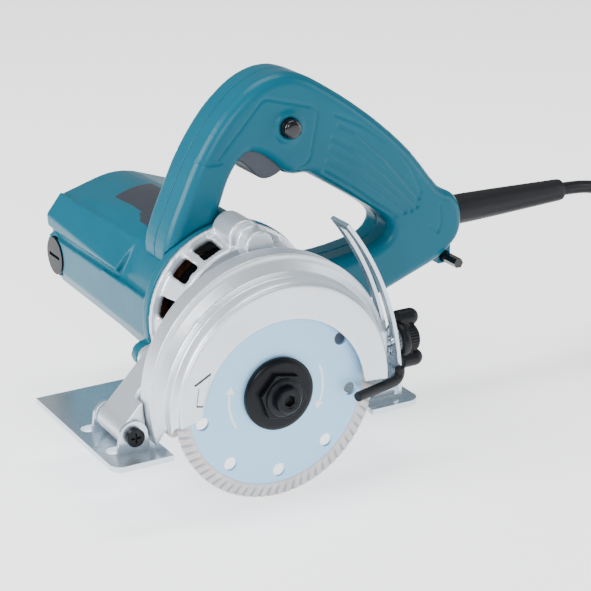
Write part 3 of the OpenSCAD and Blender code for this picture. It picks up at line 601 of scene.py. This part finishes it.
def makeRim():
    # A ring of grit with every other narrow band pressed in and the whole slightly swirled; the pressed bands
    # are marked for a painted shade.
    inner, outer, half = bladeLook["core"], bladeLook["rim"], 1.1
    profile = [(-half + 0.15, inner), (-half, inner + 0.3), (-half, inner + 3.2), (-half, outer - 0.5),
               (-half + 0.3, outer), (half - 0.3, outer), (half, outer - 0.5), (half, inner + 3.2),
               (half, inner + 0.3), (half - 0.15, inner), (-half + 0.15, inner)]
    bm = turned(profile, spindle, (0, 1, 0), bladeLook["bands"] * 6)
    bandShadeMark = bm.verts.layers.float.new("edge")
    for v in bm.verts:
        away = v.co - spindle
        radius = math.hypot(away.x, away.z) / mm
        around = math.atan2(away.z, away.x) / (2 * math.pi) * bladeLook["bands"]
        place = round((around % 1) * 6) % 6
        if place in (0, 1) and radius > inner + 1:
            v.co.y -= math.copysign(bladeLook["bandDepth"] * mm, away.y)
            v[bandShadeMark] = 1
            if radius > outer - 0.1:
                v.co -= Vector((away.x, 0, away.z)).normalized() * bladeLook["nick"] * mm
        swirl = Matrix.Rotation(bladeLook["twist"] * (radius - inner) / (outer - inner), 3, "Y")
        v.co = spindle + swirl @ (v.co - spindle)
    piecePut(meshOf(bm, "bladeRim"), "bladeRim", "gritRim", "diamond_rim", "blade_set", "blade_rim")


def arrowOnBlade(name, radius, start, sweep, headTurn):
    # A printed arc that ends in an arrowhead, just proud of the core's face.
    side = bladeLook["face"] - bladeLook["ink"]
    bm = bmesh.new()
    wide = bladeLook["arrowWidth"] / 2
    a = math.radians(start)
    ends = [bm.verts.new(at((radius + s * wide) * math.cos(a), side, (radius + s * wide) * math.sin(a)))
            for s in (-1, 1)]
    edge = bm.edges.new(ends)
    bmesh.ops.spin(bm, geom=ends + [edge], cent=spindle, axis=(0, -1, 0), angle=math.radians(sweep),
                   steps=18)
    a = math.radians(start + sweep)
    tip = math.radians(start + sweep + headTurn)
    wing = bladeLook["arrowHead"]
    head = [(radius - wing, a), (radius + wing, a), (radius + 0.2, tip)]
    bm.faces.new([bm.verts.new(at(r * math.cos(t), side, r * math.sin(t))) for r, t in head])
    made = bmesh.ops.extrude_face_region(bm, geom=bm.faces[:])["geom"]
    bmesh.ops.translate(bm, verts=[g for g in made if isinstance(g, bmesh.types.BMVert)],
                        vec=(0, 0.11 * mm, 0))
    bmesh.ops.recalc_face_normals(bm, faces=bm.faces)
    piecePut(meshOf(bm, name), name, "whiteInk", "steel_core", "blade_set")


def makeFlange():
    profile = [(-0.9, 4.3), (-0.9, 18.2), (-1.3, 18.7), (-3.4, 18.7), (-4.0, 18.2), (-4.6, 17.2),
               (-5.0, 15.4), (-5.0, 14.2), (-5.3, 13.6), (-5.3, 4.3), (-0.9, 4.3)]
    bm = turned(profile, spindle, (0, 1, 0), 128)
    hexagon = 12.6 * mm
    bmesh.ops.create_cone(bm, cap_ends=True, segments=6, radius1=hexagon, radius2=hexagon, depth=3 * mm,
                          matrix=Matrix.Translation(at(0, -6.6, 0)) @ Matrix.Rotation(math.pi / 2, 4, "X")
                          @ Matrix.Rotation(math.radians(18), 4, "Z"))
    mesh = bevelled(bm, 0.35, "outerFlange", 3, 30)
    piecePut(edgeMarked(mesh, 2), "outerFlange", "blackSteel", "black_steel", "blade_set", "outer_flange")
    collar = turned([(-8.0, 4.3), (-8.0, 9.3), (-8.3, 9.7), (-9.0, 9.7), (-9.4, 9.2), (-9.4, 4.3),
                     (-8.0, 4.3)], spindle, (0, 1, 0), 96)
    mesh = edgeMarked(meshOf(collar, "flangeCollar"), 2)
    mesh.shade_smooth()
    piecePut(mesh, "flangeCollar", "blackSteel", "black_steel", "blade_set")


def makeBolt():
    bm = turned([(13, 0), (13, 3.6), (12.6, 4), (-9.4, 4), (-9.4, 6.3), (-9.7, 6.5), (-13.4, 6.5), (-14, 5.9),
                 (-14, 4.0), (-13.6, 3.6), (-13.6, 0)], spindle, (0, 1, 0), 64)
    socket = bmesh.new()
    hexagon = 3.1 * mm
    bmesh.ops.create_cone(socket, cap_ends=True, segments=6, radius1=hexagon, radius2=hexagon, depth=5 * mm,
                          matrix=Matrix.Translation(at(0, -13.5, 0)) @ Matrix.Rotation(math.pi / 2, 4, "X"))
    mesh = edgeMarked(bevelled(cut(bm, socket), 0.15, "flangeBolt", 2), 2)
    piecePut(mesh, "flangeBolt", "blackSteel", "dark_steel", "blade_set", "flange_bolt")


makeCore()
makeRim()
arrowOnBlade("turnArrowLeft", 26.5, 211, -41, -9)
arrowOnBlade("turnArrowRight", 25.5, 22, -45, -9)
makeFlange()
makeBolt()
print("blade made")


# Voxel sizes and bevels in mm; more rounds of smoothing make rounder edges.
guardLook = {"voxel": 0.74, "rounds": 5, "stopEdge": 0.5, "arrowEdge": 0.2, "screwEdge": 0.2,
             "arrow": [(-39.2, 19.9), (-47.5, 15.6), (-45.2, 14.3), (-46.6, 5.8), (-43.5, 5.1)]}


def makeGuard():
    mesh = softened(cadCopy("blade_guard"), guardLook["voxel"], guardLook["rounds"], "bladeGuard")
    piecePut(mesh, "bladeGuard", "castMetal", "die_cast", "saw", "blade_guard")
    middle = sum((Vector(p) for p in guardLook["arrow"]), Vector((0, 0))) / len(guardLook["arrow"])
    # The arrow stands on a slightly larger dark slab whose rim shows round it as a painted shade outline.
    for name, finish, grow, front in (("guardArrow", "castMetal", 1.0, -7.9),
                                      ("guardArrowShadeOutline", "plateFilm", 1.16, -7.3)):
        bm = bmesh.new()
        slabOf(bm, [middle + (Vector(p) - middle) * grow for p in guardLook["arrow"]], front, -6.9)
        piecePut(bevelled(bm, guardLook["arrowEdge"], name), name, finish, "die_cast", "saw")
    piecePut(bevelled(cadCopy("guard_stop"), guardLook["stopEdge"], "guardStop"), "guardStop",
             "palePlastic", "pale_plastic", "saw", "guard_stop")
    piecePut(bevelled(cadCopy("guard_screws"), guardLook["screwEdge"], "guardScrews", 2), "guardScrews",
             "zincSteel", "zinc_steel", "saw", "guard_screws")


gearLook = {"voxel": 0.9, "rounds": 4, "screwEdge": 0.25}


def makeGearHousing():
    mesh = softened(cadCopy("gear_housing"), gearLook["voxel"], gearLook["rounds"], "gearHousing")
    piecePut(mesh, "gearHousing", "castMetal", "die_cast", "saw", "gear_housing")
    piecePut(bevelled(cadCopy("housing_screws"), gearLook["screwEdge"], "housingScrews", 2),
             "housingScrews", "zincSteel", "zinc_steel", "saw", "housing_screws")


makeGuard()
makeGearHousing()
print("castings made")


motorLook = {"voxel": 0.9, "rounds": 3, "plateEdge": 0.1, "capEdge": 0.4}


def makeMotorHousing():
    mesh = softened(cadCopy("motor_housing"), motorLook["voxel"], motorLook["rounds"], "motorHousing")
    piecePut(mesh, "motorHousing", "tealPlastic", "teal_plastic", "saw", "motor_housing")
    piecePut(bevelled(cadCopy("rating_plate"), motorLook["plateEdge"], "ratingPlate", 2), "ratingPlate",
             "plateFilm", "plate_film", "saw", "rating_plate")
    piecePut(bevelled(cadCopy("brush_caps"), motorLook["capEdge"], "brushCaps", 3), "brushCaps",
             "blackPlastic", "black_plastic", "saw", "brush_caps")


makeMotorHousing()
print("motor housing made")


# The grip's ribs and the shallow outlines, in x and z from the spindle.
handleLook = {"voxel": 0.72, "rounds": 13, "seam": 72, "seamCrisp": 0.6, "seamFade": 5,
              "ribWidth": 1.5, "ribDepth": 0.75, "lineWidth": 0.95, "lineDepth": 0.55,
              "nearSide": (52, 62), "farSide": (82, 92),
              "ribs": [[(69.4, 111.6), (79.8, 105.5), (97.6, 88.7), (117.7, 64.7)],
                       [(65.5, 105.2), (79.2, 96.7), (97.4, 80.5), (116.7, 60.3)],
                       [(64.2, 100.0), (79.2, 89.8), (96.2, 75.2), (113.3, 58.7)],
                       [(62.4, 93.7), (78.6, 83.4), (93.7, 71.5), (109.2, 58.3)],
                       [(60.6, 87.7), (76.8, 76.7), (90.1, 66.4), (104.0, 56.8)]],
              "lines": [[(66.9, 117.3), (84.0, 108.7), (96.7, 98.9), (105.6, 90.6), (112.8, 81.9),
                         (119.4, 67.6)],
                        [(-15.3, 105.8), (-11.6, 104.2), (-6.7, 102.0), (-2.9, 101.1), (2.1, 101.6)],
                        [(0.5, 103.4), (4.0, 107.5), (25.2, 129.9), (28.0, 130.6), (53.6, 123.2),
                         (56.7, 119.9), (55.2, 110.8), (52.1, 96.6), (49.1, 93.6), (45.0, 92.4)],
                        [(125.0, 47.8), (130.2, 43.5), (132.0, 48.3), (131.2, 58.5)]]}


def makeHandle(node, name, facing):
    # The seam between the halves stays crisp, while every other edge is well rounded.
    look = handleLook
    rough = softened(cadCopy(node), look["voxel"], 2, name)
    smooth = softened(cadCopy(node), look["voxel"], look["rounds"], name + "Smooth")
    mesh = mixed(rough, smooth, lambda place: min(
        max(abs(place.y - look["seam"]) - look["seamCrisp"], 0) / look["seamFade"], 1))
    lines = [{"points": p, "width": look["ribWidth"], "depth": look["ribDepth"]} for p in look["ribs"]]
    lines += [{"points": p, "width": look["lineWidth"], "depth": look["lineDepth"]} for p in look["lines"]]
    low, high = look["nearSide"] if facing < 0 else look["farSide"]
    piecePut(engraved(mesh, lines, facing, low, high), name, "tealPlastic", "teal_plastic", "saw", node)


controlLook = {"voxel": 0.45, "rounds": 8, "button": (40, 56.5, 114.3), "screwEdge": 0.25}


def makeControls():
    mesh = softened(cadCopy("trigger"), controlLook["voxel"], controlLook["rounds"], "triggerPiece")
    piecePut(mesh, "triggerPiece", "greyPlastic", "grey_plastic", "trigger", "trigger")
    dome = turned([(6.5, 0), (6.5, 6.3), (5, 6.3), (5, 4.9), (-4.6, 4.9), (-5.3, 4.6), (-5.8, 3.9),
                   (-6.1, 2.6), (-6.2, 1.2), (-6.2, 0)], at(*controlLook["button"]), (0, 1, 0), 64)
    mesh = edgeMarked(meshOf(dome, "lockButton"), 1)
    mesh.shade_smooth()
    piecePut(mesh, "lockButton", "glossBlack", "black_plastic", "lock_button", "lock_button")
    piecePut(bevelled(cadCopy("handle_screws"), controlLook["screwEdge"], "handleScrews", 2),
             "handleScrews", "zincSteel", "zinc_steel", "saw", "handle_screws")


keyLook = {"edge": 0.3, "clipVoxel": 0.45, "clipRounds": 5}


def makeKey():
    # Hexagonal bar bent through a right angle, stored across the handle's back.
    mesh = bevelled(cadCopy("hex_key"), keyLook["edge"], "hexKey", 2)
    piecePut(edgeMarked(mesh, 2), "hexKey", "glossBlack", "dark_steel", "hex_key", "hex_key")
    piecePut(softened(cadCopy("key_clip"), keyLook["clipVoxel"], keyLook["clipRounds"], "keyClip"),
             "keyClip", "tealPlastic", "teal_plastic", "saw", "key_clip")


cordGuardLook = {"start": (136, 72, 48.5), "steps": 72, "wear": 0.6}


def makeCordGuard():
    # Moulded sleeve: a flange inside the handle, a shoulder, a slow taper and a rounded mouth.
    profile = [(0, 3.8), (0, 7.8), (0.4, 8.2), (14, 8.2), (22, 8.15), (40, 7.7), (60, 7.0), (78, 6.35),
               (84, 6.15), (85.4, 5.9), (86, 5.2), (86, 4.4), (85, 3.9), (82, 3.8), (0, 3.8)]
    bm = turned(profile, at(*cordGuardLook["start"]), (1, 0, 0), cordGuardLook["steps"])
    mesh = edgeMarked(meshOf(bm, "cordGuard"), cordGuardLook["wear"])
    mesh.shade_smooth()
    piecePut(mesh, "cordGuard", "blackRubber", "black_rubber", "saw", "cord_guard")


makeHandle("handle_near", "handleNear", -1)
makeHandle("handle_far", "handleFar", 1)
makeControls()
makeKey()
makeCordGuard()
print("handle made")


# Bevel widths in mm; wear is how strongly sharp edges show bare metal.
baseLook = {"plateEdge": 0.6, "guideEdge": 0.4, "rivetEdge": 0.5, "screwEdge": 0.4, "sheetWear": 1.6,
            "screwWear": 2, "sleeveVoxel": 0.4, "sleeveRounds": 4}


def makeBase():
    look = baseLook
    plate = bevelled(cadCopy("base_plate"), look["plateEdge"], "basePlate", 3)
    piecePut(edgeMarked(plate, look["sheetWear"]), "basePlate", "zincSheet", "zinc_steel", "base",
             "base_plate")
    guide = bevelled(cadCopy("depth_guide"), look["guideEdge"], "depthGuide", 3)
    piecePut(edgeMarked(guide, look["sheetWear"]), "depthGuide", "zincSheet", "zinc_steel", "base",
             "depth_guide")
    piecePut(bevelled(cadCopy("guide_rivets"), look["rivetEdge"], "guideRivets", 3), "guideRivets",
             "zincSteel", "zinc_steel", "base", "guide_rivets")
    screws = bevelled(cadCopy("pivot_screws"), look["screwEdge"], "pivotScrews", 3)
    piecePut(edgeMarked(screws, look["screwWear"]), "pivotScrews", "blackSteel", "dark_steel", "base",
             "pivot_screws")
    piecePut(softened(cadCopy("rod_sleeve"), look["sleeveVoxel"], look["sleeveRounds"], "rodSleeve"),
             "rodSleeve", "blackRubber", "black_rubber", "base", "rod_sleeve")


# The fluted band lies between the two flute radii.
knobLook = {"tilt": -12, "reach": 10.6, "flutes": 14, "hub": 7.2, "wing": 4.5, "out": 14.2,
            "foot": 1.6, "hubFrom": 2, "hubTo": 10.8, "webTo": 7, "webReach": 0.6,
            "fluteIn": 5.5, "fluteOut": 7.9, "fluteDepth": 0.5, "voxel": 0.34, "rounds": 6}


def makeKnob():
    # A fluted drum between two rounded wings that stand out past it, on a smooth collar.
    look = knobLook
    low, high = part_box("wing_knob")
    start = (low.x - spindle.x) / mm
    middle = ((low + high) / 2 - spindle) / mm
    y, z = middle.y, middle.z
    bm = turned([(0, 0), (0, 9.3), (0.5, 9.5), (3.4, 9.5), (4, 9.1), (4, 0)], at(start, y, z), (1, 0, 0), 64)
    mesh = edgeMarked(meshOf(bm, "knobCollar"), 1)
    mesh.shade_smooth()
    piecePut(mesh, "knobCollar", "blackPlastic", "black_plastic", "clamp_knob")
    bm = bmesh.new()
    rod(bm, (start + look["hubFrom"], y, z), (start + look["hubTo"], y, z), look["hub"],
        look["hub"] - 0.3, 64)
    turn = math.radians(90 + look["tilt"])
    wing, web, foot = look["wing"], look["webReach"], start + look["foot"]
    tip = start + look["out"] - wing
    for way in (-1, 1):
        side, up = look["reach"] * way * math.cos(turn), look["reach"] * way * math.sin(turn)
        ball(bm, (tip, y + side, z + up), wing, 32)
        rod(bm, (foot, y + side, z + up), (tip, y + side, z + up), wing, wing, 48)
        rod(bm, (foot, y + side * web, z + up * web), (start + look["webTo"], y + side * web, z + up * web),
            wing - 0.2, wing - 0.8, 48)
    mesh = softened(bm, look["voxel"], look["rounds"], "wingKnob")
    for v in mesh.vertices:
        away = (v.co - at(0, y, z)) / mm
        radius = math.hypot(away.y, away.z)
        if look["fluteIn"] < radius < look["fluteOut"] and abs(v.normal.x) < 0.5:
            ripple = math.cos(math.atan2(away.z, away.y) * look["flutes"] * 2)
            v.co -= Vector((0, away.y, away.z)) / radius * max(ripple, 0) * look["fluteDepth"] * mm
    piecePut(mesh, "wingKnob", "blackPlastic", "black_plastic", "clamp_knob", "wing_knob")


makeBase()
makeKnob()
print("base made")


# CAD parts that stay as they are, mostly inside.
finishOf = {"inner_flange": "blackSteel", "spindle": "groundSteel", "spindle_gear": "groundSteel",
            "spindle_bearings": "groundSteel", "fan": "blackPlastic", "armature_shaft": "groundSteel",
            "armature_core": "laminations", "armature_windings": "copperWire", "commutator": "brass",
            "armature_bearings": "groundSteel", "field_core": "laminations", "field_coils": "copperWire",
            "brush_holders": "brass", "carbon_brushes": "carbon", "switch_body": "greyPlastic",
            "trigger_pin": "groundSteel", "cord_clamp": "greyPlastic", "inner_lead": "blackRubber",
            "guide_rod": "groundSteel", "knob_stud": "zincSteel", "knob_washer": "zincSteel"}
for node, finish in finishOf.items():
    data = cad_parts[node].data
    data.materials.clear()
    data.materials.append(materials[finish])
print("inner parts finished")
